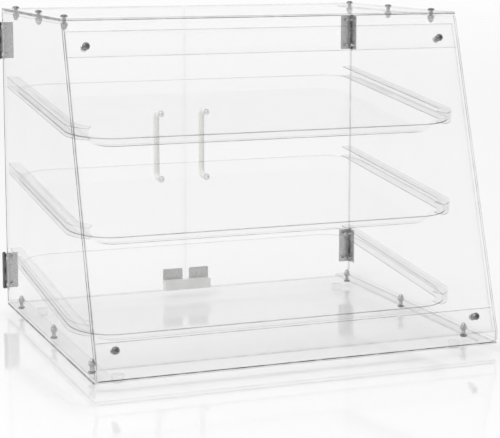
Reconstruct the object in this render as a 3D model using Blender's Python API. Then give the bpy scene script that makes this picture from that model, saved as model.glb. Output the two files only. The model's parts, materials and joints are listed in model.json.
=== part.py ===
"""Countertop pastry display case: clear sheet case, sloped front, three tilted trays, two rear doors."""
import math

import bmesh
import bpy
from mathutils import Matrix, Vector

mm = 0.001

# Case
case_width = 533 * mm
case_depth = 448 * mm
case_height = 419 * mm
sheet = 3 * mm
bend_radius = 2.5 * mm
front_lean = math.radians(17.75)
toe_height = 18 * mm
top_flange_length = 48 * mm
lower_flange_length = 31 * mm
flange_clearance = 1.5 * mm
side_flange_width = 24 * mm
side_flange_top_setback = 8 * mm
side_flange_base_setback = 7 * mm
front_panel_top_inset = 15 * mm
front_panel_toe_inset = 2 * mm

# Fits
seat_gap = 0.3 * mm
overrun = 20 * mm

# Bumper feet
foot_height = 10 * mm
foot_radius = 8 * mm
foot_base_radius = 6.8 * mm
foot_edge = 1.2 * mm
foot_inset = 40 * mm

# Case screws with their cap nuts
screw_radius = 2.5 * mm
screw_head_radius = 4.75 * mm
screw_head_height = 3.2 * mm
nut_flats = 8 * mm
nut_height = 9.5 * mm
nut_hex_height = 4.2 * mm
edge_screw_inset = 14.5 * mm
rear_screw_inset = 22 * mm
top_front_screw_inset = 39.5 * mm
base_front_screw_inset = 62 * mm
front_screw_inset = 28 * mm
upper_front_screw_drop = 34.5 * mm
lower_front_screw_rise = 21 * mm

# Tray guides
tray_tilt = math.radians(6.1)
guide_wall = 2 * mm
guide_height = 15 * mm
guide_depth = 15.5 * mm
guide_corner_radius = 39.5 * mm
guide_hook_turn = math.radians(62.7)
guide_front_setback = 6.5 * mm
guide_rear_inset = 8 * mm
shelf_front = 92.3 * mm
lowest_shelf_height = 30.9 * mm
tray_pitch = 120.8 * mm

# Trays
tray_wall = 2 * mm
tray_side_clearance = 1.5 * mm
tray_rear_setback = 3.7 * mm
tray_corner_radius = 54 * mm
tray_side_rim = 19 * mm
tray_end_rim = 6 * mm
tray_well_radius = 38 * mm
tray_well_depth = 15 * mm
tray_wall_slope = math.radians(52)
tray_rim_fillet = 4 * mm
tray_floor_fillet = 12 * mm

# Doors
door_split = 1.6 * mm
door_edge_inset = 0.5 * mm
door_end_inset = 1 * mm
door_corner_radius = 4 * mm

# Hinges
hinge_height = 50 * mm
hinge_leaf = 1.3 * mm
hinge_leaf_width = 19 * mm
hinge_pin_radius = 1.0 * mm
hinge_bore_radius = 1.3 * mm
hinge_pin_head = 0.8 * mm
hinge_pin_head_radius = 1.9 * mm
hinge_curl_clearance = 0.5 * mm
lower_hinge_rise = 48.5 * mm
upper_hinge_drop = 44.7 * mm
rivet_radius = 1.2 * mm
rivet_head_radius = 2.6 * mm
rivet_head_height = 1.3 * mm
rivet_tail_radius = 2.2 * mm
rivet_tail_height = 1 * mm
rivet_from_axis = 11 * mm
rivet_from_end = 6 * mm

# Handles
handle_radius = 4.3 * mm
handle_foot_radius = 4.9 * mm
handle_foot_flare = 3 * mm
handle_projection = 27 * mm
handle_span = 96 * mm
handle_elbow_radius = 9 * mm
handle_from_split = 35 * mm
handle_centre = 214.5 * mm
handle_screw_radius = 1.5 * mm
handle_screw_head_radius = 3.4 * mm
handle_screw_head_height = 2 * mm
handle_screw_depth = 8 * mm
handle_bore_depth = 10 * mm
screw_point = 0.6 * mm

# Magnetic catch and strike plates
catch_length = 70 * mm
catch_depth = 11 * mm
catch_height = 14.2 * mm
catch_edge = 1 * mm
magnet_length = 22 * mm
magnet_height = 8 * mm
magnet_depth = 4 * mm
magnet_rise = 5 * mm
strike_length = 30 * mm
strike_height = 21.5 * mm
strike_thickness = 1 * mm
strike_from_split = 5 * mm
strike_rise = 12 * mm
strike_corner = 2 * mm

# Counts of facets
bend_steps = 4
round_steps = 12
hole_steps = 10
rivet_steps = 8
corner_steps = 6
rim_fillet_steps = 2
floor_fillet_steps = 4
curl_steps = 7
guide_corner_steps = 7
elbow_steps = 5
hinge_knuckles = 5
curl_angle = math.radians(285)

# Shares of a fastener's own sizes, from the middle of the head outwards
head_profile_shares = ((0.4, 1.0), (0.8, 0.78), (1.0, 0.35))
dome_profile_shares = ((0.92, 0.15), (0.76, 0.7), (0.3, 1.0))


def evenly(start, end):
    """Three places, with the middle one halfway."""
    return [start, (start + end) / 2, end]


# Worked out places, with the case's front at Y = 0 until everything is centred
half_width = case_width / 2
base_under = foot_height + seat_gap
base_top = base_under + sheet
case_top = base_under + case_height
top_under = case_top - sheet
knee_height = base_under + toe_height
slope_length = (case_top - knee_height) / math.cos(front_lean)
inner_half_width = half_width - sheet
strip_half_width = inner_half_width - flange_clearance
door_front = case_depth + seat_gap
door_rear = door_front + sheet
knuckle_radius = hinge_bore_radius + hinge_leaf
axis_x = half_width + seat_gap + knuckle_radius
axis_y = door_rear + seat_gap + knuckle_radius
overall_depth = door_rear + seat_gap + handle_projection
centre_shift = Vector((0, -overall_depth / 2, 0))
tray_half_width = inner_half_width - seat_gap - guide_wall - tray_side_clearance
top_front = slope_length * math.sin(front_lean)
guide_end = (case_depth - guide_rear_inset - shelf_front) / math.cos(tray_tilt)
tray_length = guide_end - tray_rear_setback
rear_screw_row = case_depth - rear_screw_inset
top_screw_rows = evenly(rear_screw_row, top_front + top_front_screw_inset)
base_screw_rows = evenly(rear_screw_row, base_front_screw_inset)
hinge_levels = {"lower": base_under + lower_hinge_rise, "upper": case_top - upper_hinge_drop}
shelf_levels = {"bottom": 0, "middle": tray_pitch, "top": 2 * tray_pitch}
sides = {"left": -1, "right": 1}


def clear_scene():
    for item in list(bpy.data.objects):
        bpy.data.objects.remove(item, do_unlink=True)


def make_material(name, colour, roughness, metallic, alpha=1.0):
    material = bpy.data.materials.new(name)
    material.use_nodes = True
    shader = material.node_tree.nodes["Principled BSDF"]
    shader.inputs["Base Color"].default_value = (*colour, 1)
    shader.inputs["Roughness"].default_value = roughness
    shader.inputs["Metallic"].default_value = metallic
    shader.inputs["Alpha"].default_value = alpha
    material.diffuse_color = (*colour, alpha)
    return material


def add_object(name, bm, material, parent=None, smooth=False):
    """Centre the mesh in depth and link it as one named object, held by parent if one is given."""
    bmesh.ops.recalc_face_normals(bm, faces=bm.faces)
    mesh = bpy.data.meshes.new(name)
    origin = parent.location if parent else Vector()
    bmesh.ops.translate(bm, verts=bm.verts, vec=centre_shift - origin)
    bm.to_mesh(mesh)
    bm.free()
    mesh.materials.append(material)
    if smooth:
        mesh.shade_smooth()
        mesh.set_sharp_from_angle(angle=math.radians(32))
    item = bpy.data.objects.new(name, mesh)
    bpy.context.collection.objects.link(item)
    item.parent = parent
    return item


def cut(item, name, bm, parent=None):
    """Take the closed shape in bm out of item."""
    cutter = add_object(name, bm, item.data.materials[0], parent)
    cutter.hide_render = True
    cutter.display_type = "WIRE"
    modifier = item.modifiers.new(name, "BOOLEAN")
    modifier.operation = "DIFFERENCE"
    modifier.solver = "EXACT"
    modifier.object = cutter


def ring_solid(bm, rings):
    """A closed skin through rings of equally many points, with a flat face on each end."""
    loops = [[bm.verts.new(point) for point in ring] for ring in rings]
    count = len(loops[0])
    bm.faces.new(loops[0])
    bm.faces.new(loops[-1])
    for lower, upper in zip(loops, loops[1:]):
        for index in range(count):
            after = (index + 1) % count
            bm.faces.new((lower[index], lower[after], upper[after], upper[index]))


def prism(bm, outline, place, start, end):
    """Extrude a flat outline: place turns (u, v, distance) into a point."""
    ring_solid(bm, [[place(u, v, distance) for u, v in outline] for distance in (start, end)])


def along_x(u, v, distance):
    return Vector((distance, u, v))


def along_y(u, v, distance):
    return Vector((u, distance, v))


def along_z(u, v, distance):
    return Vector((u, v, distance))


def box(bm, low, high):
    outline = ((low[0], low[1]), (high[0], low[1]), (high[0], high[1]), (low[0], high[1]))
    prism(bm, outline, along_z, low[2], high[2])


def turned(bm, profile, placement, steps=round_steps, hexes=()):
    """Turn (radius, height) pairs about local Z. Rings listed in hexes have flats at their radius."""
    rings = []
    for number, (radius, height) in enumerate(profile):
        ring = []
        for step in range(steps):
            angle = math.tau * step / steps
            reach = radius
            if number in hexes:
                from_flat = (angle + math.pi / 6) % (math.pi / 3) - math.pi / 6
                reach = radius / math.cos(from_flat)
            ring.append(placement @ Vector((reach * math.cos(angle), reach * math.sin(angle), height)))
        rings.append(ring)
    ring_solid(bm, rings)


def facing(point, direction):
    """A placement whose local Z runs along direction from point."""
    return Matrix.Translation(point) @ Vector(direction).to_track_quat("Z", "Y").to_matrix().to_4x4()


def rod(bm, point, direction, radius, start, end, steps=hole_steps):
    turned(bm, ((radius, start), (radius, end)), facing(point, direction), steps)


def rounded_outline(low, high, radius, steps=corner_steps):
    """Corner points of a flat rectangle with round corners, running anticlockwise."""
    centres = (
        (high[0] - radius, high[1] - radius),
        (low[0] + radius, high[1] - radius),
        (low[0] + radius, low[1] + radius),
        (high[0] - radius, low[1] + radius),
    )
    outline = []
    for corner, (u, v) in enumerate(centres):
        for step in range(steps + 1):
            angle = math.pi / 2 * (corner + step / steps)
            outline.append((u + radius * math.cos(angle), v + radius * math.sin(angle)))
    return outline


def bent_outline(path, thickness, inner_radius, inside):
    """Section of a bent sheet. path is its outer face; inside is 1 for material on its left, or -1."""
    outer_radius = inner_radius + thickness
    points = [Vector(point) for point in path]
    headings = [(after - before).normalized() for before, after in zip(points, points[1:])]
    normals = [Vector((-heading.y, heading.x)) * inside for heading in headings]
    outer = [points[0]]
    inner = [points[0] + normals[0] * thickness]
    for index in range(1, len(points) - 1):
        turn = headings[index - 1].angle(headings[index])
        tangent = outer_radius * math.tan(turn / 2)
        centre = points[index] - headings[index - 1] * tangent + normals[index - 1] * outer_radius
        for step in range(bend_steps + 1):
            spin = Matrix.Rotation(turn * inside * step / bend_steps, 2)
            normal = spin @ normals[index - 1]
            outer.append(centre - normal * outer_radius)
            inner.append(centre - normal * inner_radius)
    outer.append(points[-1])
    inner.append(points[-1] + normals[-1] * thickness)
    return [tuple(point) for point in outer + inner[::-1]]


def slope_point(rise, inset):
    """Depth and height of a point up the sloped front from its knee, and inset behind its face."""
    depth = rise * math.sin(front_lean) + inset * math.cos(front_lean)
    height = knee_height + rise * math.cos(front_lean) - inset * math.sin(front_lean)
    return depth, height


def tray_place(shelf):
    """Places (x, distance up the slope from the tray's front, height above the guide's foot)."""
    level = base_under + lowest_shelf_height + shelf_levels[shelf]

    def place(x, along, above):
        depth = shelf_front + along * math.cos(tray_tilt) - above * math.sin(tray_tilt)
        height = level + along * math.sin(tray_tilt) + above * math.cos(tray_tilt)
        return Vector((x, depth, height))

    return place


def front_screw_places():
    """Seats on the sloped front: the upper pair, then the lower."""
    for rise in (slope_length - upper_front_screw_drop, lower_front_screw_rise):
        for side in sides.values():
            depth, height = slope_point(rise, 0)
            point = Vector((side * (half_width - front_screw_inset), depth, height))
            yield point, Vector((0, -math.cos(front_lean), math.sin(front_lean)))


def edge_screw_places(rows, upward):
    """Seats of the vertical screws on the outside of the top, or of the base."""
    height = case_top if upward else base_under
    for row in rows:
        for side in sides.values():
            point = Vector((side * (half_width - edge_screw_inset), row, height))
            yield point, Vector((0, 0, 1 if upward else -1))


def make_top_panel():
    path = ((case_depth, case_top), (top_front, case_top), slope_point(slope_length - top_flange_length, 0))
    bm = bmesh.new()
    prism(bm, bent_outline(path, sheet, bend_radius, 1), along_x, -half_width, half_width)
    panel = add_object("top_panel", bm, clear_sheet, smooth=True)
    strip_top = top_under - seat_gap / 2
    cut_strip_ends(panel, "top_strip_end_cuts", strip_top - case_height, strip_top)
    cut_screw_holes(panel, edge_screw_places(top_screw_rows, True), "top_panel_edge_holes")
    cut_screw_holes(panel, list(front_screw_places())[:2], "top_panel_front_holes")


def make_base_panel():
    path = (
        (case_depth, base_under),
        (0, base_under),
        (0, knee_height),
        slope_point(lower_flange_length, 0),
    )
    bm = bmesh.new()
    prism(bm, bent_outline(path, sheet, bend_radius, -1), along_x, -half_width, half_width)
    panel = add_object("base_panel", bm, clear_sheet, smooth=True)
    strip_foot = base_top + seat_gap / 2
    cut_strip_ends(panel, "base_strip_end_cuts", strip_foot, strip_foot + case_height)
    cut_screw_holes(panel, edge_screw_places(base_screw_rows, False), "base_panel_edge_holes")
    cut_screw_holes(panel, list(front_screw_places())[2:], "base_panel_front_holes")


def cut_strip_ends(panel, name, low, high):
    """Narrow a bent strip to fit between the side panels."""
    bm = bmesh.new()
    for side in sides.values():
        edge = sorted((side * strip_half_width, side * (half_width + overrun)))
        box(bm, (edge[0], -overrun, low), (edge[1], case_depth / 2, high))
    cut(panel, name, bm)


def cut_screw_holes(panel, places, name, radius=screw_radius, depth=overrun):
    """Clearance holes through the sheets, from each screw's seat inwards and out past it."""
    bm = bmesh.new()
    for point, outward in places:
        rod(bm, point, outward, radius + seat_gap, -depth, depth / 2)
    cut(panel, name, bm)


def make_side_panel(side_name, side):
    low = base_top + seat_gap
    high = top_under - seat_gap
    flange_edge = half_width - side_flange_width
    path = (
        (side * flange_edge, high),
        (side * half_width, high),
        (side * half_width, low),
        (side * flange_edge, low),
    )
    bm = bmesh.new()
    prism(bm, bent_outline(path, sheet, bend_radius, -side), along_y, -overrun, case_depth)
    panel = add_object(f"{side_name}_side_panel", bm, clear_sheet, smooth=True)

    top_depth, top_height = slope_point(slope_length + overrun, 0)
    bm = bmesh.new()
    outline = (
        (-2 * overrun, low - overrun),
        (0, low - overrun),
        (0, knee_height),
        (top_depth, top_height),
        (-2 * overrun, top_height),
    )
    prism(bm, outline, along_x, side * (flange_edge - overrun), side * (half_width + overrun))
    cut(panel, f"{side_name}_side_slope_cut", bm)

    top_flange_start = top_front + side_flange_top_setback
    edge = sorted((side * inner_half_width, side * (flange_edge - overrun)))
    bm = bmesh.new()
    box(bm, (edge[0], -2 * overrun, low - overrun), (edge[1], side_flange_base_setback, low + overrun))
    box(bm, (edge[0], -2 * overrun, high - overrun), (edge[1], top_flange_start, high + overrun))
    cut(panel, f"{side_name}_side_flange_cut", bm)

    rows = [place for place in edge_screw_places(top_screw_rows, True) if place[0].x * side > 0]
    rows += [place for place in edge_screw_places(base_screw_rows, False) if place[0].x * side > 0]
    cut_screw_holes(panel, rows, f"{side_name}_side_edge_holes")
    cut_screw_holes(panel, rivet_places(side, False), f"{side_name}_side_hinge_holes", rivet_radius)


def make_front_panel():
    start = front_panel_toe_inset
    end = slope_length - front_panel_top_inset
    near = sheet + seat_gap
    corners = ((start, near), (end, near), (end, near + sheet), (start, near + sheet))
    bm = bmesh.new()
    prism(bm, [slope_point(*corner) for corner in corners], along_x, -strip_half_width, strip_half_width)
    panel = add_object("front_panel", bm, clear_sheet)
    cut_screw_holes(panel, front_screw_places(), "front_panel_holes")


def make_feet():
    profile = (
        (foot_base_radius - foot_edge, 0),
        (foot_base_radius, foot_edge),
        (foot_radius, foot_height - foot_edge),
        (foot_radius, foot_height),
    )
    for side_name, side in sides.items():
        for end_name, depth in (("front", foot_inset), ("rear", case_depth - foot_inset)):
            bm = bmesh.new()
            turned(bm, profile, Matrix.Translation((side * (half_width - foot_inset), depth, 0)))
            add_object(f"{end_name}_{side_name}_foot", bm, clear_rubber, smooth=True)


def head_profile(radius, height):
    """A low round head, from its middle outwards to its underside one seat gap off the face."""
    rise = height - seat_gap
    profile = [(radius * across, seat_gap + rise * up) for across, up in head_profile_shares]
    return profile + [(radius, seat_gap)]


def make_case_screw(name, point, outward):
    """A round-headed screw through two sheets, tightened into its acorn nut on the inside."""
    face = -(2 * sheet + 2 * seat_gap)
    flat = nut_flats / 2
    dome = nut_height - nut_hex_height
    profile = head_profile(screw_head_radius, screw_head_height)
    profile += [(screw_radius, seat_gap), (screw_radius, face), (flat, face), (flat, face - nut_hex_height)]
    profile += [(flat * across, face - nut_hex_height - dome * up) for across, up in dome_profile_shares]
    nut_ring = len(head_profile_shares) + 3
    bm = bmesh.new()
    turned(bm, profile, facing(point, outward), hexes=(nut_ring, nut_ring + 1))
    add_object(name, bm, dark_steel, smooth=True)


def make_case_screws():
    for panel_name, rows, upward in (("top", top_screw_rows, True), ("base", base_screw_rows, False)):
        for row_name, row in zip(("rear", "middle", "front"), rows):
            for side_name, place in zip(sides, edge_screw_places([row], upward)):
                make_case_screw(f"{panel_name}_{side_name}_{row_name}_screw", *place)
    names = [f"front_{side_name}_{level}_screw" for level in ("upper", "lower") for side_name in sides]
    for name, place in zip(names, front_screw_places()):
        make_case_screw(name, *place)


def make_guide(shelf, side_name, side):
    """A channel that opens inwards and hooks round the tray's front corner."""
    place = tray_place(shelf)
    outer = inner_half_width - seat_gap
    centre = Vector((outer - guide_corner_radius, guide_front_setback + guide_corner_radius))
    stations = [(Vector((outer, guide_end)), Vector((-1, 0)))]
    for step in range(guide_corner_steps + 1):
        angle = guide_hook_turn * step / guide_corner_steps
        outward = Vector((math.cos(angle), -math.sin(angle)))
        stations.append((centre + outward * guide_corner_radius, -outward))
    section = (
        (0, 0),
        (guide_depth, 0),
        (guide_depth, guide_wall),
        (guide_wall, guide_wall),
        (guide_wall, guide_height - guide_wall),
        (guide_depth, guide_height - guide_wall),
        (guide_depth, guide_height),
        (0, guide_height),
    )
    rings = []
    for point, inward in stations:
        spots = [(point + inward * reach, above) for reach, above in section]
        rings.append([place(side * spot.x, spot.y, above) for spot, above in spots])
    bm = bmesh.new()
    ring_solid(bm, rings)
    add_object(f"{shelf}_{side_name}_tray_guide", bm, clear_sheet, smooth=True)


def tray_wall_profile():
    """Inset, drop and slope down the tray's wall: rim fillet, straight wall, floor fillet."""
    profile = []
    for step in range(rim_fillet_steps + 1):
        slope = tray_wall_slope * step / rim_fillet_steps
        inset = tray_rim_fillet * math.sin(slope)
        profile.append((inset, tray_rim_fillet * (1 - math.cos(slope)), slope))
    fillets = (tray_rim_fillet + tray_floor_fillet) * (1 - math.cos(tray_wall_slope))
    straight = (tray_well_depth - fillets) / math.sin(tray_wall_slope)
    inset, drop, _ = profile[-1]
    inset += straight * math.cos(tray_wall_slope)
    drop += straight * math.sin(tray_wall_slope)
    for step in range(floor_fillet_steps + 1):
        slope = tray_wall_slope * (1 - step / floor_fillet_steps)
        further = tray_floor_fillet * (math.sin(tray_wall_slope) - math.sin(slope))
        lower = tray_floor_fillet * (math.cos(slope) - math.cos(tray_wall_slope))
        profile.append((inset + further, drop + lower, slope))
    return profile


def make_tray(shelf):
    """A shallow tray: flat rim, sloping walls, one wall thickness throughout."""
    place = tray_place(shelf)
    rim_top = guide_wall + seat_gap + tray_wall
    well_half = tray_half_width - tray_side_rim

    def ring(half, inset, radius, above):
        low = (-half, inset)
        high = (half, tray_length - inset)
        return [place(x, along, above) for x, along in rounded_outline(low, high, radius)]

    def well_ring(inset, above):
        return ring(well_half - inset, tray_end_rim + inset, tray_well_radius - inset, above)

    profile = tray_wall_profile()
    rings = [well_ring(inset, rim_top - drop) for inset, drop, _ in profile[::-1]]
    rings.append(ring(tray_half_width, 0, tray_corner_radius, rim_top))
    rings.append(ring(tray_half_width, 0, tray_corner_radius, rim_top - tray_wall))
    for inset, drop, slope in profile:
        outer_drop = drop + tray_wall * math.cos(slope)
        rings.append(well_ring(inset - tray_wall * math.sin(slope), rim_top - outer_drop))
    bm = bmesh.new()
    ring_solid(bm, rings)
    add_object(f"{shelf}_tray", bm, clear_tray, smooth=True)


def sheet_solid(bm, stations, levels, present):
    """A thick sheet of cells. stations are (outer, inner) flat points, levels are heights."""
    outer = [[bm.verts.new((*station[0], level)) for level in levels] for station in stations]
    inner = [[bm.verts.new((*station[1], level)) for level in levels] for station in stations]
    cells = {
        (across, up)
        for across in range(len(stations) - 1)
        for up in range(len(levels) - 1)
        if present(across, up)
    }
    for across, up in cells:
        corners = ((across, up), (across + 1, up), (across + 1, up + 1), (across, up + 1))
        beside = ((across, up - 1), (across + 1, up), (across, up + 1), (across - 1, up))
        bm.faces.new([outer[i][j] for i, j in corners])
        bm.faces.new([inner[i][j] for i, j in corners[::-1]])
        for edge, neighbour in enumerate(beside):
            if neighbour not in cells:
                (a, b), (c, d) = corners[edge], corners[(edge + 1) % 4]
                bm.faces.new((outer[a][b], outer[c][d], inner[c][d], inner[a][b]))
    loose = [vert for vert in bm.verts if not vert.link_faces]
    bmesh.ops.delete(bm, geom=loose, context="VERTS")


def rivet_places(side, on_door):
    """Seats of the hinge rivets on the outside of a side panel, or of a door."""
    for level in hinge_levels.values():
        for end in (-1, 1):
            height = level + end * (hinge_height / 2 - rivet_from_end)
            if on_door:
                point = Vector((side * (axis_x - rivet_from_axis), door_rear, height))
                yield point, Vector((0, 1, 0))
            else:
                point = Vector((side * half_width, axis_y - rivet_from_axis, height))
                yield point, Vector((side, 0, 0))


def make_hinge_leaf(name, side, level, on_door, parent=None):
    """A flat leaf whose tabs curl round the pin. The case's leaf has the odd knuckles."""
    axis = Vector((side * axis_x, axis_y))
    along = Vector((-side, 0)) if on_door else Vector((0, -1))
    outward = Vector((0, 1)) if on_door else Vector((side, 0))
    near = -knuckle_radius
    far = near + hinge_leaf
    ends = (hinge_leaf_width, knuckle_radius + hinge_curl_clearance, 0)
    stations = [(axis + along * end + outward * far, axis + along * end + outward * near) for end in ends]
    for step in range(1, curl_steps + 1):
        angle = curl_angle * step / curl_steps
        spoke = -outward * math.cos(angle) - along * math.sin(angle)
        stations.append((axis + spoke * hinge_bore_radius, axis + spoke * knuckle_radius))
    bottom = level - hinge_height / 2
    knuckle = hinge_height / hinge_knuckles
    levels = [bottom]
    for number in range(1, hinge_knuckles):
        levels += [bottom + number * knuckle - seat_gap / 2, bottom + number * knuckle + seat_gap / 2]
    levels.append(bottom + hinge_height)

    def present(across, up):
        own = up % 2 == 0 and (up // 2) % 2 == (1 if on_door else 0)
        return across == 0 or own

    bm = bmesh.new()
    sheet_solid(bm, stations, levels, present)
    leaf = add_object(name, bm, hinge_steel, parent)
    places = [place for place in rivet_places(side, on_door) if abs(place[0].z - level) < hinge_height / 2]
    join_rivets(leaf, f"{name}_rivets", places, parent)


def join_rivets(leaf, name, places, parent):
    """Rivets are closed over leaf and sheet for good, so they are one body with their leaf."""
    tail = -(sheet + seat_gap)
    head = head_profile(rivet_head_radius, rivet_head_height)
    profile = [(across, hinge_leaf + up) for across, up in head]
    profile += [(rivet_head_radius, hinge_leaf), (rivet_radius, hinge_leaf), (rivet_radius, tail)]
    profile += [(rivet_tail_radius, tail), (rivet_tail_radius, tail - rivet_tail_height)]
    bm = bmesh.new()
    for point, outward in places:
        turned(bm, profile, facing(point, outward), steps=rivet_steps)
    rivets = add_object(name, bm, hinge_steel, parent)
    rivets.hide_render = True
    rivets.display_type = "WIRE"
    modifier = leaf.modifiers.new(name, "BOOLEAN")
    modifier.operation = "UNION"
    modifier.solver = "EXACT"
    modifier.object = rivets


def make_hinge_pin(name, side, level):
    reach = hinge_height / 2 + seat_gap
    profile = (
        (hinge_pin_head_radius, -reach - hinge_pin_head),
        (hinge_pin_head_radius, -reach),
        (hinge_pin_radius, -reach),
        (hinge_pin_radius, reach),
        (hinge_pin_head_radius, reach),
        (hinge_pin_head_radius, reach + hinge_pin_head),
    )
    bm = bmesh.new()
    turned(bm, profile, Matrix.Translation((side * axis_x, axis_y, level)), steps=10)
    add_object(name, bm, hinge_steel, smooth=True)


def make_hinges(side_name, side, door):
    for level_name, level in hinge_levels.items():
        stem = f"{side_name}_{level_name}_hinge"
        make_hinge_leaf(f"{stem}_case_leaf", side, level, False)
        make_hinge_leaf(f"{stem}_door_leaf", side, level, True, door)
        make_hinge_pin(f"{stem}_pin", side, level)


def handle_screw_places(side):
    """Seats on the inside of the door, with the screws running rearwards."""
    for end in (-1, 1):
        height = base_under + handle_centre + end * handle_span / 2
        yield Vector((side * handle_from_split, door_front, height)), Vector((0, -1, 0))


def handle_screw(bm, point, outward):
    end = -(sheet + seat_gap + handle_screw_depth)
    profile = head_profile(handle_screw_head_radius, handle_screw_head_height)
    profile += [(handle_screw_radius, seat_gap), (handle_screw_radius, end + screw_point)]
    profile.append((handle_screw_radius - screw_point, end))
    turned(bm, profile, facing(point, outward))


def make_door(side_name, side, door):
    low_z = base_under + door_end_inset
    high_z = case_top - door_end_inset
    edges = sorted((side * door_split / 2, side * (half_width - door_edge_inset)))
    bm = bmesh.new()
    outline = rounded_outline((edges[0], low_z), (edges[1], high_z), door_corner_radius, bend_steps)
    prism(bm, outline, along_y, door_front, door_rear)
    panel = add_object(f"{side_name}_door_panel", bm, clear_sheet, door, smooth=True)
    bm = bmesh.new()
    for point, direction in rivet_places(side, True):
        rod(bm, point, direction, rivet_radius + seat_gap, -overrun, overrun)
    for point, direction in handle_screw_places(side):
        rod(bm, point, direction, handle_screw_radius + seat_gap, -overrun, overrun)
    cut(panel, f"{side_name}_door_holes", bm, door)


def make_handle(side_name, side, door):
    """A bow handle: two feet, round elbows and an upright grip, bored for its screws."""
    foot_y = door_rear + seat_gap
    grip_y = foot_y + handle_projection - handle_radius
    centre_z = base_under + handle_centre
    bore = handle_screw_radius + seat_gap

    def ring(depth, height, lean, radius):
        """A ring about a point of the handle's line, which leans from straight out to upright."""
        points = []
        for step in range(round_steps):
            angle = math.tau * step / round_steps
            across = radius * math.cos(angle)
            over = radius * math.sin(angle)
            y = depth - over * math.sin(lean)
            z = height + over * math.cos(lean)
            points.append(Vector((side * handle_from_split + across, y, z)))
        return points

    low = centre_z - handle_span / 2
    high = centre_z + handle_span / 2
    rings = [
        ring(foot_y + handle_bore_depth, low, 0, bore),
        ring(foot_y, low, 0, bore),
        ring(foot_y, low, 0, handle_foot_radius),
        ring(foot_y + handle_foot_flare, low, 0, handle_radius),
    ]
    for step in range(elbow_steps + 1):
        lean = math.pi / 2 * step / elbow_steps
        depth = grip_y - handle_elbow_radius * (1 - math.sin(lean))
        rings.append(ring(depth, low + handle_elbow_radius * (1 - math.cos(lean)), lean, handle_radius))
    for step in range(elbow_steps + 1):
        lean = math.pi / 2 * (1 + step / elbow_steps)
        depth = grip_y - handle_elbow_radius * (1 - math.sin(lean))
        rings.append(ring(depth, high - handle_elbow_radius * (1 + math.cos(lean)), lean, handle_radius))
    rings += [
        ring(foot_y + handle_foot_flare, high, math.pi, handle_radius),
        ring(foot_y, high, math.pi, handle_foot_radius),
        ring(foot_y, high, math.pi, bore),
        ring(foot_y + handle_bore_depth, high, math.pi, bore),
    ]
    bm = bmesh.new()
    ring_solid(bm, rings)
    add_object(f"{side_name}_door_handle", bm, white_plastic, door, smooth=True)
    for level_name, (point, direction) in zip(("lower", "upper"), handle_screw_places(side)):
        bm = bmesh.new()
        handle_screw(bm, point, direction)
        add_object(f"{side_name}_handle_{level_name}_screw", bm, dark_steel, door, smooth=True)


def make_strike(side_name, side, door):
    edges = sorted((side * strike_from_split, side * (strike_from_split + strike_length)))
    low_z = base_under + strike_rise
    outline = rounded_outline((edges[0], low_z), (edges[1], low_z + strike_height), strike_corner, 3)
    rear = door_front - seat_gap
    bm = bmesh.new()
    prism(bm, outline, along_y, rear - strike_thickness, rear)
    add_object(f"{side_name}_strike_plate", bm, strike_steel, door, smooth=True)


def make_catch():
    rear = door_front - 2 * seat_gap - strike_thickness
    front = rear - catch_depth
    low = base_top + seat_gap
    half = catch_length / 2
    bm = bmesh.new()
    outline = rounded_outline((-half, low), (half, low + catch_height), catch_edge, 2)
    prism(bm, outline, along_y, front, rear)
    body = add_object("catch_body", bm, catch_plastic, smooth=True)
    magnet_low = low + magnet_rise
    cuts = bmesh.new()
    for side_name, side in sides.items():
        middle = side * (strike_from_split + strike_length / 2)
        wide = magnet_length / 2
        box(
            cuts,
            (middle - wide - seat_gap, rear - magnet_depth - seat_gap, magnet_low - seat_gap),
            (middle + wide + seat_gap, rear + overrun, magnet_low + magnet_height + seat_gap),
        )
        magnet_top = magnet_low + magnet_height
        bm = bmesh.new()
        box(bm, (middle - wide, rear - magnet_depth, magnet_low), (middle + wide, rear, magnet_top))
        add_object(f"{side_name}_catch_magnet", bm, dark_magnet)
    cut(body, "catch_magnet_pockets", cuts)


clear_scene()
clear_sheet = make_material("clear acrylic sheet", (0.93, 0.94, 0.94), 0.05, 0.0, 0.25)
clear_tray = make_material("clear tray plastic", (0.90, 0.91, 0.91), 0.08, 0.0, 0.35)
clear_rubber = make_material("clear bumper rubber", (0.85, 0.85, 0.85), 0.35, 0.0, 0.5)
dark_steel = make_material("dark steel", (0.20, 0.20, 0.20), 0.35, 1.0)
hinge_steel = make_material("hinge steel", (0.42, 0.42, 0.42), 0.35, 1.0)
strike_steel = make_material("strike plate steel", (0.60, 0.60, 0.60), 0.4, 1.0)
dark_magnet = make_material("magnet", (0.12, 0.12, 0.12), 0.6, 0.0)
catch_plastic = make_material("catch plastic", (0.68, 0.68, 0.68), 0.45, 0.0)
white_plastic = make_material("white handle plastic", (0.86, 0.86, 0.85), 0.4, 0.0)

make_top_panel()
make_base_panel()
make_front_panel()
make_feet()
make_case_screws()
make_catch()
for shelf_name in shelf_levels:
    make_tray(shelf_name)
for name_of_side, sign in sides.items():
    make_side_panel(name_of_side, sign)
    for shelf_name in shelf_levels:
        make_guide(shelf_name, name_of_side, sign)
    door_pivot = bpy.data.objects.new(f"{name_of_side}_door_pivot", None)
    door_pivot.location = Vector((sign * axis_x, axis_y, 0)) + centre_shift
    bpy.context.collection.objects.link(door_pivot)
    make_door(name_of_side, sign, door_pivot)
    make_handle(name_of_side, sign, door_pivot)
    make_strike(name_of_side, sign, door_pivot)
    make_hinges(name_of_side, sign, door_pivot)
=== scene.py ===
import json
import math

import bmesh
import bpy
from mathutils import Matrix, Vector

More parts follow.
